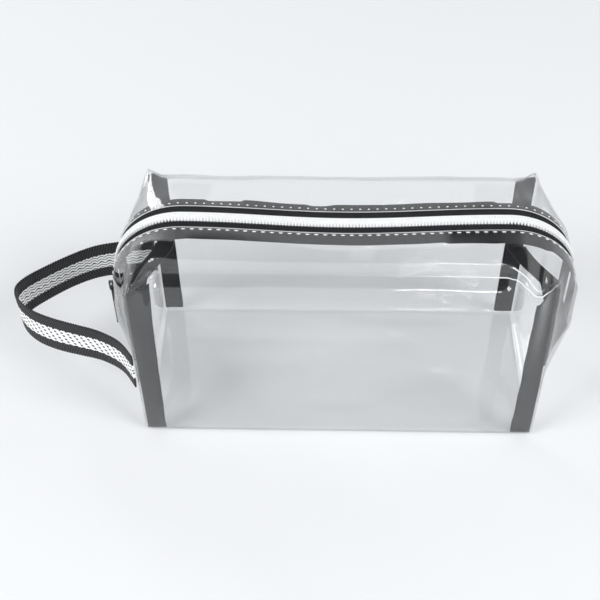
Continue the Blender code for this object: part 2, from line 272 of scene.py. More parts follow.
bpy.ops.mesh.primitive_cube_add(size=1, location=(0, 0, bag_height / 2))
sheet = bpy.context.object
sheet.name = "clear_sheet"
sheet.scale = (2 * half_x, 2 * half_y, bag_height)
bpy.ops.object.transform_apply(location=True, rotation=False, scale=True)
bpy.ops.object.mode_set(mode="EDIT")
across = [flap_edge, flat_on_tape] + [flat_on_tape + cut_step * step for step in range(1, 13)]
across += [half_y - 0.0016, half_y - 0.0006, 0.003]
cuts = [((0, 0, seam_z + cut_step * step), (0, 0, 1)) for step in range(-22, 23)]
cuts += [((0, 0, bag_height - 0.0008), (0, 0, 1)), ((0, 0, 0.0008), (0, 0, 1))]
cuts += [((0, side * y, 0), (0, 1, 0)) for y in across for side in (-1, 1)] + [((0, 0, 0), (0, 1, 0))]
cuts += [((cut_step * step, 0, 0), (1, 0, 0)) for step in range(-43, 44)]
cuts += [((side * (half_x - 0.0009), 0, 0), (1, 0, 0)) for side in (-1, 1)]
cuts += [((side * (half_x - cut_step / 2 - cut_step * step), 0, 0), (1, 0, 0))
         for step in range(8) for side in (-1, 1)]
for place, direction in cuts:
    bpy.ops.mesh.select_all(action="SELECT")
    bpy.ops.mesh.bisect(plane_co=place, plane_no=direction)
bpy.ops.mesh.select_all(action="DESELECT")
shell = bmesh.from_edit_mesh(sheet.data)
for face in shell.faces:
    middle = face.calc_center_median()
    above = middle.z > bag_height - tiny or (middle.z > seam_z and abs(middle.x) > half_x - tiny)
    face.select = above and abs(middle.y) < flap_edge
bmesh.update_edit_mesh(sheet.data)
bpy.ops.mesh.delete(type="FACE")
bpy.ops.mesh.select_all(action="SELECT")
bpy.ops.mesh.remove_doubles(threshold=0.0001)
bpy.ops.mesh.normals_make_consistent(inside=False)
bpy.ops.object.mode_set(mode="OBJECT")
for vertex in sheet.data.vertices:
    vertex.co = shape_sheet(vertex.co)
clear_pvc = bpy.data.materials.new("clear_pvc")
clear_pvc.use_nodes = True
nodes = clear_pvc.node_tree.nodes
links = clear_pvc.node_tree.links
nodes.remove(nodes["Principled BSDF"])
through = nodes.new("ShaderNodeBsdfTransparent")
through.inputs["Color"].default_value = (0.995, 0.9965, 0.997, 1)
gloss = nodes.new("ShaderNodeBsdfGlossy")
gloss.inputs["Roughness"].default_value = 0.06
mirror = nodes.new("ShaderNodeFresnel")
geometry = nodes.new("ShaderNodeNewGeometry")
index = nodes.new("ShaderNodeMapRange")
index.inputs["To Min"].default_value = pvc_index
index.inputs["To Max"].default_value = 1 / pvc_index
mix = nodes.new("ShaderNodeMixShader")
links.new(geometry.outputs["Backfacing"], index.inputs["Value"])
links.new(index.outputs["Result"], mirror.inputs["IOR"])
links.new(mirror.outputs["Fac"], mix.inputs["Fac"])
links.new(through.outputs["BSDF"], mix.inputs[1])
links.new(gloss.outputs["BSDF"], mix.inputs[2])
links.new(mix.outputs["Shader"], nodes["Material Output"].inputs["Surface"])
where = nodes.new("ShaderNodeTexCoord")
waves = nodes.new("ShaderNodeTexNoise")
waves.inputs["Scale"].default_value = 90
waves.inputs["Detail"].default_value = 2
relief = nodes.new("ShaderNodeBump")
relief.inputs["Strength"].default_value = 0.15
relief.inputs["Distance"].default_value = 0.0004
links.new(where.outputs["Object"], waves.inputs["Vector"])
links.new(waves.outputs["Fac"], relief.inputs["Height"])
links.new(relief.outputs["Normal"], gloss.inputs["Normal"])
# The sheet's cut edges are an opaque near-white: a painted highlight standing in for the bright line that
# light makes along a clear cut edge.
cut_edge = bpy.data.materials.new("cut_pvc_edge")
cut_edge.use_nodes = True
shader = cut_edge.node_tree.nodes["Principled BSDF"]
shader.inputs["Base Color"].default_value = (0.93, 0.94, 0.95, 1)
shader.inputs["Roughness"].default_value = 0.4
sheet.data.materials.append(clear_pvc)
sheet.data.materials.append(cut_edge)
wall = sheet.modifiers.new("Wall", "SOLIDIFY")
wall.thickness = sheet_thick
wall.offset = -1
wall.use_rim = True
wall.material_offset_rim = 1
bpy.ops.object.modifier_apply(modifier=wall.name)

# Painted highlights along the sharp creases: thin near-white tubes stand in for the light that the folds
# catch, one along the fold, and one above it by the dent. Each point is a place along the fold, then how
# far behind it and how far below it.
crease_highlight_paint = bpy.data.materials.new("painted_crease_highlight")
crease_highlight_paint.use_nodes = True
tree = crease_highlight_paint.node_tree
shader = tree.nodes["Principled BSDF"]
shader.inputs["Roughness"].default_value = 0.3
where = tree.nodes.new("ShaderNodeTexCoord")
cloudy = tree.nodes.new("ShaderNodeTexNoise")
cloudy.inputs["Scale"].default_value = 300
tree.links.new(where.outputs["Object"], cloudy.inputs["Vector"])
shade = tree.nodes.new("ShaderNodeMixRGB")
shade.inputs[1].default_value = (0.86, 0.87, 0.88, 1)
shade.inputs[2].default_value = (0.99, 0.99, 0.99, 1)
tree.links.new(cloudy.outputs["Fac"], shade.inputs[0])
tree.links.new(shade.outputs[0], shader.inputs["Base Color"])
crease_radius = 0.0003
crease_steps = 8
fold_crease = ((0.020, 0.0, 0.0), (0.050, 0.0, 0.0), (0.076, 0.0, 0.0004), (0.087, 0.0, 0.0004),
               (0.0915, 0.0004, 0.0), (0.095, 0.0018, 0.0), (0.0985, 0.0034, 0.0),
               (0.1015, 0.0012, 0.0), (0.105, 0.0, 0.0032), (0.1088, 0.0, 0.0009))
upper_crease = ((0.0845, 0.0090, 0.0), (0.088, 0.0082, 0.0), (0.094, 0.0076, 0.0),
                (0.0985, 0.0066, 0.0), (0.1015, 0.0050, 0.0))
creases = []
for route in (fold_crease, upper_crease):
    line = bpy.data.curves.new("crease", "CURVE")
    line.dimensions = "3D"
    line.bevel_depth = crease_radius
    line.bevel_resolution = 1
    line.use_fill_caps = True
    spline = line.splines.new("POLY")
    last = (len(route) - 1) * crease_steps
    spline.points.add(last)
    for number, point in enumerate(spline.points):
        start = Vector(route[number // crease_steps])
        end = Vector(route[min(number // crease_steps + 1, len(route) - 1)])
        x, behind, below = start.lerp(end, (number % crease_steps) / crease_steps)
        place = shape_sheet(Vector((x, behind - half_y, bag_height - below)))
        point.co = (*place, 1)
        to_tip = min(number, last - number)
        point.radius = 0.15 + 0.85 * ease(3.5 * to_tip / (last + 1))
    crease = bpy.data.objects.new("crease", line)
    bpy.context.collection.objects.link(crease)
    creases.append(crease)
bpy.ops.object.select_all(action="DESELECT")
for crease in creases:
    crease.select_set(True)
bpy.context.view_layer.objects.active = creases[0]
bpy.ops.object.convert(target="MESH")
for crease in creases:
    crease.data.materials.clear()
    crease.data.materials.append(crease_highlight_paint)
sheet.select_set(True)
bpy.context.view_layer.objects.active = sheet
bpy.ops.object.join()
bpy.ops.object.shade_smooth_by_angle(angle=math.radians(50))
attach(sheet, "bag")
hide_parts("pvc_base", "pvc_front_wall", "pvc_back_wall", "pvc_top_front", "pvc_top_back",
            "pvc_left_end_front", "pvc_left_end_back", "pvc_left_end_lower",
            "pvc_right_end_front", "pvc_right_end_back", "pvc_right_end_lower")


# ---- Corner bindings ----------------------------------------------------------------------------
# Black woven tape folded over the raw edges of the four corner seams and sewn through. Each
# lies flat inside the front or back of the bag, and its cut ends are left raw.
binding_wide = 0.011
seam_inset = 0.0011
rib_pitch = 0.0013
thread_radius = 0.00025
seam_stitch_pitch = 0.0031
seam_stitch_long = 0.0021
stitch_in = 0.0018

woven_black = bpy.data.materials.new("woven_black_tape")
woven_black.use_nodes = True
nodes = woven_black.node_tree.nodes
links = woven_black.node_tree.links
shader = nodes["Principled BSDF"]
shader.inputs["Base Color"].default_value = (0.012, 0.012, 0.014, 1)
shader.inputs["Roughness"].default_value = 0.75
shader.inputs["Sheen Weight"].default_value = 0.15
shader.inputs["Specular IOR Level"].default_value = 0.25
where = nodes.new("ShaderNodeTexCoord")
ribs = nodes.new("ShaderNodeTexWave")
ribs.bands_direction = "Z"
ribs.inputs["Scale"].default_value = 450
ribs.inputs["Distortion"].default_value = 0.1
relief = nodes.new("ShaderNodeBump")
relief.inputs["Strength"].default_value = 0.3
relief.inputs["Distance"].default_value = 0.0001
links.new(where.outputs["Object"], ribs.inputs["Vector"])
links.new(ribs.outputs["Fac"], relief.inputs["Height"])
links.new(relief.outputs["Normal"], shader.inputs["Normal"])


def bound_strip(name, lowest, highest, axis, count):
    """A flat strip with slightly round edges, cut across into short lengths along its axis."""
    bpy.ops.object.select_all(action="DESELECT")
    bpy.ops.mesh.primitive_cube_add(size=1, location=(lowest + highest) / 2)
    strip = bpy.context.object
    strip.name = name
    strip.scale = highest - lowest
    bpy.ops.object.transform_apply(location=True, rotation=False, scale=True)
    bpy.ops.object.mode_set(mode="EDIT")
    bpy.ops.mesh.select_all(action="SELECT")
    bpy.ops.mesh.bevel(offset=0.0004, segments=2)
    other = 1 - axis if axis < 2 else 0
    for direction, cuts in ((axis, count), (other, 9)):
        normal = Vector((0, 0, 0))
        normal[direction] = 1
        for step in range(1, cuts):
            place = lowest.lerp(highest, step / cuts)
            bpy.ops.mesh.select_all(action="SELECT")
            bpy.ops.mesh.bisect(plane_co=place, plane_no=normal)
    bpy.ops.object.mode_set(mode="OBJECT")
    return strip


def add_fibres(strip, place, out, spread, seed):
    """Loose thread ends where the tape was cut: thin tapered spikes, joined to the strip."""
    draw = random.Random(seed)
    spikes = [strip]
    for _ in range(14):
        start = place + Vector(spread) * draw.uniform(-0.5, 0.5)
        lean = Vector((draw.uniform(-1, 1), draw.uniform(-0.3, 0.3), draw.uniform(-1, 1))) * 0.8
        way = (Vector(out) + lean).normalized()
        length = draw.uniform(0.0008, 0.0020)
        bpy.ops.mesh.primitive_cone_add(vertices=5, radius1=0.00011, radius2=0.00004, depth=length,
                                        location=start + way * (length / 2 - 0.0003),
                                        rotation=way.to_track_quat("Z", "Y").to_euler())
        bpy.ops.object.transform_apply(location=True, rotation=True, scale=True)
        spikes.append(bpy.context.object)
    bpy.ops.object.select_all(action="DESELECT")
    for spike in spikes:
        spike.select_set(True)
    bpy.context.view_layer.objects.active = strip
    bpy.ops.object.join()


def finish_strip(strip, node):
    """Smooths a bound strip, gives it its tape and lets it stand for its node."""
    bpy.ops.object.shade_smooth_by_angle(angle=math.radians(40))
    strip.data.materials.clear()
    strip.data.materials.append(woven_black)
    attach(strip, "bag")
    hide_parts(node)


def stitch_row(name, places, node):
    """Short black stitches lying along a bound seam, each bedded in the tape at both ends."""
    pieces = []
    for start, end in places:
        bpy.ops.mesh.primitive_uv_sphere_add(segments=8, ring_count=6, radius=1)
        piece = bpy.context.object
        turn = (end - start).to_track_quat("Z", "Y").to_matrix().to_4x4()
        piece.data.transform(Matrix.Translation((start + end) / 2) @ turn
                             @ Matrix.Diagonal((thread_radius, thread_radius, (end - start).length / 2, 1)))
        pieces.append(piece)
    bpy.ops.object.select_all(action="DESELECT")
    for piece in pieces:
        piece.select_set(True)
    bpy.context.view_layer.objects.active = pieces[0]
    bpy.ops.object.join()
    row = bpy.context.object
    row.name = name
    bpy.ops.object.shade_smooth()
    row.data.materials.append(woven_black)
    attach(row, "bag")
    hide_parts(node)


for corner in ("front_left", "front_right", "back_left", "back_right"):
    lowest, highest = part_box("binding_" + corner)
    strip = bound_strip("bound_seam_" + corner, lowest, highest, 2, 110)
    face = 1 if lowest.y > 0 else -1
    side = 1 if lowest.x > 0 else -1
    seed = (face + 2) * 10 + side

    def on_wall(x, y, z):
        """Carries a point of the straight strip onto the wall that it is sewn to."""
        rag = noise.noise(Vector((x * 600, seed, 3.0)))
        if z < lowest.z + 0.0006:
            z += 0.0012 + 0.0030 * rag
        elif z > highest.z - 0.0006:
            z += 0.0012 * rag
        free = ease((half_x - abs(x) - 0.006) / 0.006)
        drift = 0.0005 * noise.noise(Vector((z * 55, seed, 1.0))) * free
        wall_place = shape_sheet(Vector((x, face * half_y, max(z, 0.0006))))
        rib = 0.00006 * math.cos(2 * math.pi * z / rib_pitch)
        inward = y - face * half_y
        inward += -face * rib if abs(inward) > 0.0015 else 0
        return Vector((wall_place.x + drift, wall_place.y + inward, wall_place.z))

    for vertex in strip.data.vertices:
        vertex.co = on_wall(*vertex.co)
    middle = (lowest + highest) / 2
    for z, out in ((lowest.z, -0.3), (highest.z, 1)):
        end = on_wall(middle.x, middle.y, z) + Vector((0, 0, 0.0006 if z < 0.01 else 0))
        add_fibres(strip, end, (0, 0, out), (0.0105, 0, 0), seed)
    finish_strip(strip, "binding_" + corner)
    line_x = side * (half_x - seam_inset - binding_wide + stitch_in)
    line_y = (lowest.y if face > 0 else highest.y) - face * 0.00015
    places = []
    for step in range(34):
        z = 0.004 + seam_stitch_pitch * step
        places.append((on_wall(line_x, line_y, z), on_wall(line_x, line_y, z + seam_stitch_long)))
    stitch_row("seam_stitches_" + corner, places, "seam_thread_" + corner)


# ---- End bindings ------------------------------------------------------------------------------
# The same black tape, bound over the level seam half way up each end, where the upper end
# panels meet the lower one. The bound edges stand inwards like a narrow shelf.
shelf_z = 0.0580
for end_name, side in (("left_end", -1), ("right_end", 1)):
    lowest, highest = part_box("binding_" + end_name)
    low = Vector((-binding_wide, lowest.y, lowest.z))
    high = Vector((0.0, highest.y, highest.z))
    strip = bound_strip("bound_seam_" + end_name, low, high, 1, 80)

    def on_end(inward, y, z):
        """Carries a point of the straight strip onto the end that it is sewn to."""
        wall_place = shape_sheet(Vector((side * half_x, y, seam_z - 0.0002)))
        waver = 0.0008 * noise.noise(Vector((y * 50, side, inward * 60)))
        rib = 0.00005 * math.cos(2 * math.pi * y / rib_pitch)
        level = z + waver + (rib if z > shelf_z else -rib)
        return Vector((wall_place.x - side * (0.0010 - inward), y, level))

    for vertex in strip.data.vertices:
        vertex.co = on_end(*vertex.co)
    if side > 0:
        strip.data.flip_normals()
    for y, out in ((lowest.y, -1), (highest.y, 1)):
        end = on_end(-binding_wide / 2, y, shelf_z)
        add_fibres(strip, end, (0, out * 0.2, 0), (0.009, 0, 0), side + 5)
    finish_strip(strip, "binding_" + end_name)
    line_in = stitch_in - binding_wide
    line_z = highest.z + 0.00012
    places = []
    for step in range(28):
        y = -0.044 + seam_stitch_pitch * step
        places.append((on_end(line_in, y, line_z), on_end(line_in, y + seam_stitch_long, line_z)))
    stitch_row("seam_stitches_" + end_name, places, "seam_thread_" + end_name)


# ---- Zip tapes -----------------------------------------------------------------------------------
# Two black tapes woven in a fine herringbone. Each lies under the edge of its clear flap,
# and its free edge wanders a little, because only the stitching holds it.
tape_in = 0.0028
tape_out = 0.0160
tape_start = 0.0015
tape_thick = 0.0006
weave_pitch = 0.0007
weave_swing = 0.0016


def join_nodes(tree, operation, first, second=None, third=None):
    """Adds a Math node fed by numbers or by sockets, and gives its result."""
    node = tree.nodes.new("ShaderNodeMath")
    node.operation = operation
    for socket, value in zip(node.inputs, (first, second, third)):
        if isinstance(value, (int, float)):
            socket.default_value = value
        elif value is not None:
            tree.links.new(value, socket)
    return node.outputs[0]


herringbone = bpy.data.materials.new("zip_tape_weave")
herringbone.use_nodes = True
tree = herringbone.node_tree
shader = tree.nodes["Principled BSDF"]
shader.inputs["Roughness"].default_value = 0.8
shader.inputs["Specular IOR Level"].default_value = 0.12
where = tree.nodes.new("ShaderNodeUVMap")
where.uv_map = "UVMap"
split = tree.nodes.new("ShaderNodeSeparateXYZ")
tree.links.new(where.outputs["UV"], split.inputs[0])
zigzag = join_nodes(tree, "PINGPONG", split.outputs["Y"], weave_swing)
slant = join_nodes(tree, "ADD", split.outputs["X"], zigzag)
rib = join_nodes(tree, "PINGPONG", join_nodes(tree, "DIVIDE", slant, weave_pitch), 1.0)
tint = tree.nodes.new("ShaderNodeMapRange")
tint.inputs["From Min"].default_value = 0.55
tint.inputs["From Max"].default_value = 0.95
tree.links.new(rib, tint.inputs["Value"])
shade = tree.nodes.new("ShaderNodeMixRGB")
shade.inputs[1].default_value = (0.003, 0.003, 0.004, 1)
shade.inputs[2].default_value = (0.075, 0.080, 0.085, 1)
tree.links.new(tint.outputs["Result"], shade.inputs[0])
tree.links.new(shade.outputs[0], shader.inputs["Base Color"])
relief = tree.nodes.new("ShaderNodeBump")
relief.inputs["Strength"].default_value = 0.6
relief.inputs["Distance"].default_value = 0.00015
tree.links.new(rib, relief.inputs["Height"])
tree.links.new(relief.outputs["Normal"], shader.inputs["Normal"])

for name, side in (("front", -1), ("back", 1)):
    bpy.ops.object.select_all(action="DESELECT")
    bpy.ops.mesh.primitive_grid_add(x_subdivisions=360, y_subdivisions=14, size=1)
    tape = bpy.context.object
    tape.name = "zip_tape_woven_" + name
    run = zip_total - 2 * tape_start
    for loop in tape.data.uv_layers["UVMap"].data:
        loop.uv = (loop.uv.x * run, loop.uv.y * (tape_out - tape_in))
    if side < 0:
        tape.data.flip_normals()
    for vertex in tape.data.vertices:
        travel = tape_start + (vertex.co.x + 0.5) * run
        part = vertex.co.y + 0.5
        wander = noise.noise(Vector((travel * 38, side * 5.0, 0.3)))
        droop = noise.noise(Vector((travel * 45, side * 5.0, 4.3)))
        off = tape_in + part * (tape_out - tape_in - 0.0007 + 0.0007 * wander)
        rise = -(0.0003 + tape_sink(travel, side)) * ease((off - 0.0095) / 0.006)
        rise -= 0.0004 * ease((part - 0.8) / 0.2) * (1 + droop)
        place, _ = zip_point(travel, rise)
        vertex.co = (place.x, side * off, place.y)
    wall = tape.modifiers.new("Wall", "SOLIDIFY")
    wall.thickness = tape_thick
    wall.offset = 0
    bpy.ops.object.modifier_apply(modifier=wall.name)
    bpy.ops.object.shade_smooth_by_angle(angle=math.radians(50))
    tape.data.materials.append(herringbone)
    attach(tape, "bag")
    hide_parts("zip_tape_" + name)


# ---- Zip coils -----------------------------------------------------------------------------------
# White nylon wire coiled into teeth, one row on each tape. The rows mesh along the closed
# zip and stand apart at the left end, where the slider's web keeps them.
coil_pitch = 0.0017
coil_outer = 0.0036
coil_inner = 0.0006
coil_low = 0.0004
coil_high = 0.0018
core_in = 0.0008
core_out = 0.0024
wire_share = 0.36
turn_half_thick = 0.00092
mesh_start = 0.026
mesh_run = 0.008

nylon = bpy.data.materials.new("white_nylon")
nylon.use_nodes = True
tree = nylon.node_tree
shader = tree.nodes["Principled BSDF"]
shader.inputs["Roughness"].default_value = 0.35
shader.inputs["Subsurface Weight"].default_value = 0.15
shader.inputs["Subsurface Radius"].default_value = (0.0006, 0.0006, 0.0006)
shader.inputs["Subsurface Scale"].default_value = 1.0
where = tree.nodes.new("ShaderNodeTexCoord")
streaks = tree.nodes.new("ShaderNodeTexNoise")
streaks.inputs["Scale"].default_value = 700
tree.links.new(where.outputs["Object"], streaks.inputs["Vector"])
shade = tree.nodes.new("ShaderNodeMixRGB")
shade.inputs[1].default_value = (0.92, 0.93, 0.94, 1)
shade.inputs[2].default_value = (0.97, 0.975, 0.98, 1)
tree.links.new(streaks.outputs["Fac"], shade.inputs[0])
tree.links.new(shade.outputs[0], shader.inputs["Base Color"])

bpy.ops.object.select_all(action="DESELECT")
bpy.ops.mesh.primitive_torus_add(major_segments=12, minor_segments=5, major_radius=1,
                                 minor_radius=wire_share)
turn = bpy.context.object
bpy.ops.object.mode_set(mode="EDIT")
bpy.ops.mesh.select_all(action="SELECT")
flatten = 1 / (1 + wire_share)
bpy.ops.transform.resize(value=(flatten, flatten, turn_half_thick / wire_share))
bpy.ops.object.mode_set(mode="OBJECT")
for vertex in turn.data.vertices:
    vertex.co.z *= 1 - 0.80 * ease((vertex.co.x + 0.1) / 1.0)
bpy.ops.object.shade_smooth()


def row_along_zip(model, name, side, travels, spread):
    """Copies a small model along the zip and joins the copies into one piece.

    The model's X becomes the way outward from the zip's middle, its Y the way out of the bag
    and its Z the way along the zip. spread gives, for one travel, the four numbers that
    place it: inner and outer edge, then lowest and highest rise.
    """
    pieces = []
    for travel in travels:
        inner, outer, low, high = spread(travel)
        place, out = zip_point(travel, (low + high) / 2)
        along = Vector((out.y, -out.x))
        matrix = Matrix(((0, out.x * (high - low) / 2, along.x, place.x),
                         (side * (outer - inner) / 2, 0, 0, side * (outer + inner) / 2),
                         (0, out.y * (high - low) / 2, along.y, place.y),
                         (0, 0, 0, 1)))
        piece = bpy.data.objects.new(name, model.data.copy())
        piece.data.transform(matrix)
        bpy.context.collection.objects.link(piece)
        pieces.append(piece)
    bpy.ops.object.select_all(action="DESELECT")
    for piece in pieces:
        piece.select_set(True)
    bpy.context.view_layer.objects.active = pieces[0]
    bpy.ops.object.join()
    bpy.ops.object.mode_set(mode="EDIT")
    bpy.ops.mesh.select_all(action="SELECT")
    bpy.ops.mesh.normals_make_consistent(inside=False)
    bpy.ops.object.mode_set(mode="OBJECT")
    return bpy.context.object


def coil_spread(travel, widen):
    """Edges and rises of a row of coils here: apart at the left end, then meshed."""
    meshed = ease((travel - mesh_start) / mesh_run)
    return coil_inner * (1 - 2 * meshed), coil_outer + widen * meshed, coil_low, coil_high


def add_core(coil, side):
    """The cord that runs inside a row of coils and fills its gaps, joined to the row."""
    bpy.ops.object.select_all(action="DESELECT")
    bpy.ops.mesh.primitive_grid_add(x_subdivisions=200, y_subdivisions=4, size=1)
    core = bpy.context.object
    run = zip_total - 2 * tape_start - 2 * coil_pitch
    for vertex in core.data.vertices:
        crown = 0.00015 * (1 - (2 * vertex.co.y) ** 2)
        place, _ = zip_point(zip_total / 2 + vertex.co.x * run, (coil_low + coil_high) / 2 + crown)
        vertex.co = (place.x, side * (core_in + (vertex.co.y + 0.5) * (core_out - core_in)), place.y)
    wall = core.modifiers.new("Wall", "SOLIDIFY")
    wall.thickness = coil_high - coil_low - 0.0004
    wall.offset = 0
    bpy.ops.object.modifier_apply(modifier=wall.name)
    bpy.ops.object.shade_smooth_by_angle(angle=math.radians(50))
    coil.select_set(True)
    bpy.context.view_layer.objects.active = coil
    bpy.ops.object.join()
    bpy.ops.object.mode_set(mode="EDIT")
    bpy.ops.mesh.select_all(action="SELECT")
    bpy.ops.mesh.normals_make_consistent(inside=False)
    bpy.ops.object.mode_set(mode="OBJECT")


for name, side, lag, widen in (("front", -1, 0.25, 0.0009), ("back", 1, 0.75, -0.0003)):
    count = int((zip_total - 2 * tape_start) / coil_pitch)
    travels = [tape_start + coil_pitch * (number + lag) for number in range(count)]
    coil = row_along_zip(turn, "zip_teeth_" + name, side, travels,
                         lambda travel: coil_spread(travel, widen))
    add_core(coil, side)
    coil.data.materials.append(nylon)
    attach(coil, "bag")
    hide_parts("zip_coil_" + name)
bpy.data.objects.remove(turn)


# ---- Flap stitching ------------------------------------------------------------------------------
# White sewing thread in one row along each flap, through the clear sheet and the tape under
# it. Each stitch is pulled down at its ends and stands up in its middle.
stitch_pitch = 0.0046
stitch_line = 0.0101
stitch_low = 0.0009
stitch_high = 0.0016
stitch_half_long = 0.00115
stitch_slant = 60
bpy.ops.object.select_all(action="DESELECT")
bpy.ops.mesh.primitive_uv_sphere_add(segments=10, ring_count=8, radius=1)
stitch = bpy.context.object
for vertex in stitch.data.vertices:
    vertex.co.z *= stitch_half_long
    vertex.co.x += vertex.co.z * stitch_slant
bpy.ops.object.shade_smooth()
for name, side in (("front", -1), ("back", 1)):
    count = int((zip_total - 2 * tape_start) / stitch_pitch)
    travels = [tape_start + stitch_pitch * (number + 0.5) for number in range(count)]
    half_wide = 0.0003
    if side > 0:  # the back row is pulled tighter, so its stitches show shorter and thinner
        half_wide = 0.0002
        stitch.data.transform(Matrix.Scale(0.55, 4, Vector((0, 0, 1))))
    edges = (stitch_line - half_wide, stitch_line + half_wide, stitch_low, stitch_high)
    row = row_along_zip(stitch, "flap_stitches_" + name, side, travels, lambda travel: edges)
    row.data.materials.append(nylon)
    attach(row, "bag")
    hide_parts("top_stitch_" + name)
bpy.data.objects.remove(stitch)


# ---- Slider and pull -------------------------------------------------------------------------
# A small cast slider and its stamped pull, both with a black enamel finish. The pull is
# hooked on the slider's crown and hangs down the end of the bag.
enamel = bpy.data.materials.new("black_enamel")
enamel.use_nodes = True
tree = enamel.node_tree
shader = tree.nodes["Principled BSDF"]
shader.inputs["Base Color"].default_value = (0.010, 0.010, 0.011, 1)
shader.inputs["Coat Weight"].default_value = 0.6
shader.inputs["Coat Roughness"].default_value = 0.15
where = tree.nodes.new("ShaderNodeTexCoord")
wear = tree.nodes.new("ShaderNodeTexNoise")
wear.inputs["Scale"].default_value = 500
wear.inputs["Detail"].default_value = 4
tree.links.new(where.outputs["Object"], wear.inputs["Vector"])
dull = tree.nodes.new("ShaderNodeMapRange")
dull.inputs["To Min"].default_value = 0.22
dull.inputs["To Max"].default_value = 0.45
tree.links.new(wear.outputs["Fac"], dull.inputs["Value"])
tree.links.new(dull.outputs["Result"], shader.inputs["Roughness"])
for node, name, body in (("slider_body", "zip_slider", "slider"), ("pull_tab", "zip_pull", "pull")):
    bpy.ops.object.select_all(action="DESELECT")
    metal = bpy.data.objects.new(name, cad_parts[node].data.copy())
    metal.data.materials.clear()
    bpy.context.collection.objects.link(metal)
    metal.select_set(True)
    bpy.context.view_layer.objects.active = metal
    bpy.ops.object.mode_set(mode="EDIT")
    bpy.ops.mesh.select_all(action="SELECT")
    bpy.ops.mesh.remove_doubles(threshold=0.00001)
    bpy.ops.mesh.dissolve_limited(angle_limit=math.radians(2))
    bpy.ops.object.mode_set(mode="OBJECT")
    edges = metal.modifiers.new("Worn edges", "BEVEL")
    edges.width = 0.00018
    edges.segments = 2
    edges.limit_method = "ANGLE"
    edges.angle_limit = math.radians(35)
    edges.use_clamp_overlap = True
    bpy.ops.object.modifier_apply(modifier=edges.name)
    bpy.ops.object.shade_smooth_by_angle(angle=math.radians(40))
    metal.data.materials.append(enamel)
    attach(metal, body)
    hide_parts(node)


# ---- Wrist strap -----------------------------------------------------------------------------
# Patterned webbing with black edges and a white middle, woven in zigzag cords inside and in
# slanted rows outside. Both ends are sewn into the corner seams of the left end.
strap_route = ((-0.1108, 0.0492), (-0.122, 0.0475), (-0.134, 0.0450), (-0.147, 0.0405),
               (-0.160, 0.0320), (-0.172, 0.0215), (-0.181, 0.0115), (-0.1838, 0.0030),
               (-0.1795, -0.0065), (-0.171, -0.0145), (-0.159, -0.0210), (-0.145, -0.0262),
               (-0.131, -0.0310), (-0.119, -0.0385), (-0.1108, -0.0492))
strap_width = 0.025
strap_thick = 0.0015
strap_z_back = 0.0455
strap_z_front = 0.0525
white_half = 0.0052
cord_pitch = 0.0020
cord_swing = 0.0013
cord_period = 0.0047
row_period = 0.0042
row_slant = 0.55
edge_slant = 0.35
inner_shift = 0.1


def smooth_route(points, steps):
    """A smooth line through the points, with its length so far at each place."""
    line = []
    for number in range(len(points) - 1):
        before = Vector(points[max(number - 1, 0)])
        start = Vector(points[number])
        end = Vector(points[number + 1])
        after = Vector(points[min(number + 2, len(points) - 1)])
        for step in range(steps):
            t = step / steps
            line.append(0.5 * ((2 * start) + (end - before) * t
                               + (2 * before - 5 * start + 4 * end - after) * t * t
                               + (3 * start - before - 3 * end + after) * t ** 3))
    line.append(Vector(points[-1]))
    lengths = [0.0]
    for first, second in zip(line, line[1:]):
        lengths.append(lengths[-1] + (second - first).length)
    return line, lengths


strap_line, strap_lengths = smooth_route(strap_route, 12)
strap_length = strap_lengths[-1]


def strap_place(run):
    """Place and side direction, in plan, this far along the strap from its back end."""
    number = 0
    while number < len(strap_lengths) - 2 and strap_lengths[number + 1] < run:
        number += 1
    part = (run - strap_lengths[number]) / (strap_lengths[number + 1] - strap_lengths[number])
    ahead = strap_line[min(number + 2, len(strap_line) - 1)] - strap_line[number]
    behind = strap_line[number + 1] - strap_line[max(number - 1, 0)]
    along = behind.lerp(ahead, part).normalized()
    return strap_line[number].lerp(strap_line[number + 1], part), Vector((along.y, -along.x))


def tri(value):
    """A zigzag from -1 to 1, one swing for each whole number."""
    return 4 * abs(value - math.floor(value + 0.5)) - 1


def weave_relief(run, across, outer):
    """Height of the threads over the webbing's middle surface."""
    off = abs(across)
    if off > white_half:
        slant = run + (edge_slant if outer else -edge_slant) * off
        return 0.00011 * math.cos(2 * math.pi * slant / 0.0017) * (1 - 0.4 * math.cos(off * 2600))
    if outer:
        row = (run + row_slant * across) / row_period * 2
        return 0.00012 * math.cos(2 * math.pi * row) + 0.00006 * math.cos(2 * math.pi * across / cord_pitch)
    cord = (across + cord_swing / 2 * tri(run / cord_period)) / cord_pitch
    return 0.00017 * math.cos(2 * math.pi * cord)


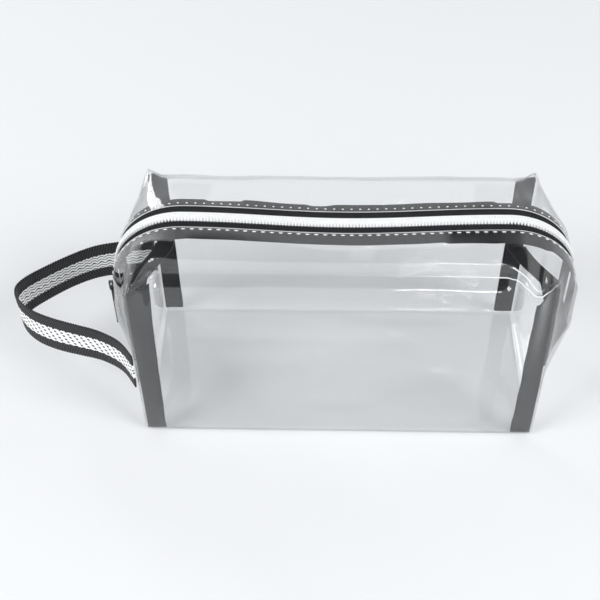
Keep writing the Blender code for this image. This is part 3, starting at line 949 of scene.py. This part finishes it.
bpy.ops.object.select_all(action="DESELECT")
bpy.ops.mesh.primitive_grid_add(x_subdivisions=560, y_subdivisions=52, size=1)
strap = bpy.context.object
strap.name = "wrist_strap"
strap.scale = (strap_length, strap_width, 1)
bpy.ops.object.transform_apply(location=False, rotation=False, scale=True)
wall = strap.modifiers.new("Wall", "SOLIDIFY")
wall.thickness = strap_thick - 0.0003
wall.offset = 0
bpy.ops.object.modifier_apply(modifier=wall.name)
uvs = strap.data.uv_layers["UVMap"].data
for polygon in strap.data.polygons:
    inner = polygon.normal.z > 0.5
    for number in polygon.loop_indices:
        uv = uvs[number].uv
        shift = inner_shift if inner else 0
        uvs[number].uv = (uv.x * strap_length, (uv.y - 0.5) * strap_width + shift)
for vertex in strap.data.vertices:
    run = vertex.co.x + strap_length / 2
    across = vertex.co.y
    outer = vertex.co.z < 0
    edge = max(abs(across) / (strap_width / 2) - 0.9, 0.0) / 0.1
    thick = abs(vertex.co.z) * (1 - 0.45 * edge ** 2) + weave_relief(run, across, outer) * (1 - edge)
    scallop = 0.00022 * math.cos(2 * math.pi * run / 0.0016) * max(abs(across) - 0.0095, 0) / 0.003
    across += math.copysign(scallop - 0.0002, across)
    place, beside = strap_place(run)
    slip = 0.0006 * noise.noise(Vector((run * 30, 0.7, 1.9)))
    level = strap_z_back + (strap_z_front - strap_z_back) * ease(run / strap_length)
    curl = 0.0003 * math.sin(run * 90) * (across / strap_width) * 2
    place = place + beside * (thick if outer else -thick) + beside * curl
    vertex.co = (place.x, place.y, level + across + slip)
bpy.ops.object.mode_set(mode="EDIT")
bpy.ops.mesh.select_all(action="SELECT")
bpy.ops.mesh.normals_make_consistent(inside=False)
bpy.ops.object.mode_set(mode="OBJECT")
bpy.ops.object.shade_smooth_by_angle(angle=math.radians(60))

webbing = bpy.data.materials.new("striped_webbing")
webbing.use_nodes = True
tree = webbing.node_tree
shader = tree.nodes["Principled BSDF"]
shader.inputs["Roughness"].default_value = 0.75
shader.inputs["Sheen Weight"].default_value = 0.1
shader.inputs["Specular IOR Level"].default_value = 0.3
where = tree.nodes.new("ShaderNodeUVMap")
where.uv_map = "UVMap"
split = tree.nodes.new("ShaderNodeSeparateXYZ")
tree.links.new(where.outputs["UV"], split.inputs[0])
run = split.outputs["X"]
inner = join_nodes(tree, "GREATER_THAN", split.outputs["Y"], inner_shift / 2)
shifted = join_nodes(tree, "MULTIPLY", inner, inner_shift)
across = join_nodes(tree, "SUBTRACT", split.outputs["Y"], shifted)
swing = join_nodes(tree, "PINGPONG", run, cord_period / 2)
swing = join_nodes(tree, "MULTIPLY", swing, 2 * cord_swing / cord_period)
wavy = join_nodes(tree, "ADD", across, swing)
cord = join_nodes(tree, "PINGPONG", join_nodes(tree, "DIVIDE", wavy, cord_pitch / 2), 1.0)
cords = join_nodes(tree, "GREATER_THAN", cord, 0.42)
slanted = join_nodes(tree, "ADD", run, join_nodes(tree, "MULTIPLY", across, row_slant))
row = join_nodes(tree, "PINGPONG", join_nodes(tree, "DIVIDE", slanted, row_period / 2), 1.0)
cross = join_nodes(tree, "PINGPONG", join_nodes(tree, "DIVIDE", across, cord_pitch / 2), 1.0)
dash = join_nodes(tree, "MULTIPLY", join_nodes(tree, "LESS_THAN", row, 0.36),
                  join_nodes(tree, "GREATER_THAN", cross, 0.42))
rows = join_nodes(tree, "SUBTRACT", 1.0, dash)
pattern = tree.nodes.new("ShaderNodeMix")
tree.links.new(inner, pattern.inputs[0])
tree.links.new(rows, pattern.inputs[2])
tree.links.new(cords, pattern.inputs[3])
off_middle = join_nodes(tree, "ABSOLUTE", across)
rag = join_nodes(tree, "MULTIPLY", join_nodes(tree, "PINGPONG", run, 0.0008), 0.5)
ragged = join_nodes(tree, "ADD", off_middle, rag)
middle = join_nodes(tree, "LESS_THAN", ragged, white_half)
white = join_nodes(tree, "MULTIPLY", middle, pattern.outputs[0])
shade = tree.nodes.new("ShaderNodeMixRGB")
slanted = join_nodes(tree, "ADD", run, join_nodes(tree, "MULTIPLY", off_middle, edge_slant))
rib = join_nodes(tree, "PINGPONG", join_nodes(tree, "DIVIDE", slanted, 0.00085), 1.0)
strand = join_nodes(tree, "PINGPONG", join_nodes(tree, "DIVIDE", across, 0.0006), 1.0)
lit = join_nodes(tree, "MULTIPLY", join_nodes(tree, "POWER", rib, 2.5), strand)
black = tree.nodes.new("ShaderNodeMixRGB")
black.inputs[1].default_value = (0.008, 0.008, 0.009, 1)
black.inputs[2].default_value = (0.10, 0.10, 0.105, 1)
tree.links.new(lit, black.inputs[0])
tree.links.new(black.outputs[0], shade.inputs[1])
shade.inputs[2].default_value = (0.86, 0.87, 0.86, 1)
tree.links.new(white, shade.inputs[0])
tree.links.new(shade.outputs[0], shader.inputs["Base Color"])
fine = tree.nodes.new("ShaderNodeTexNoise")
fine.inputs["Scale"].default_value = 2500
where = tree.nodes.new("ShaderNodeTexCoord")
tree.links.new(where.outputs["Object"], fine.inputs["Vector"])
relief = tree.nodes.new("ShaderNodeBump")
relief.inputs["Strength"].default_value = 0.5
relief.inputs["Distance"].default_value = 0.0001
tree.links.new(fine.outputs["Fac"], relief.inputs["Height"])
tree.links.new(relief.outputs["Normal"], shader.inputs["Normal"])
strap.data.materials.append(webbing)
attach(strap, "bag")
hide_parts("strap_webbing")

bpy.context.view_layer.update()
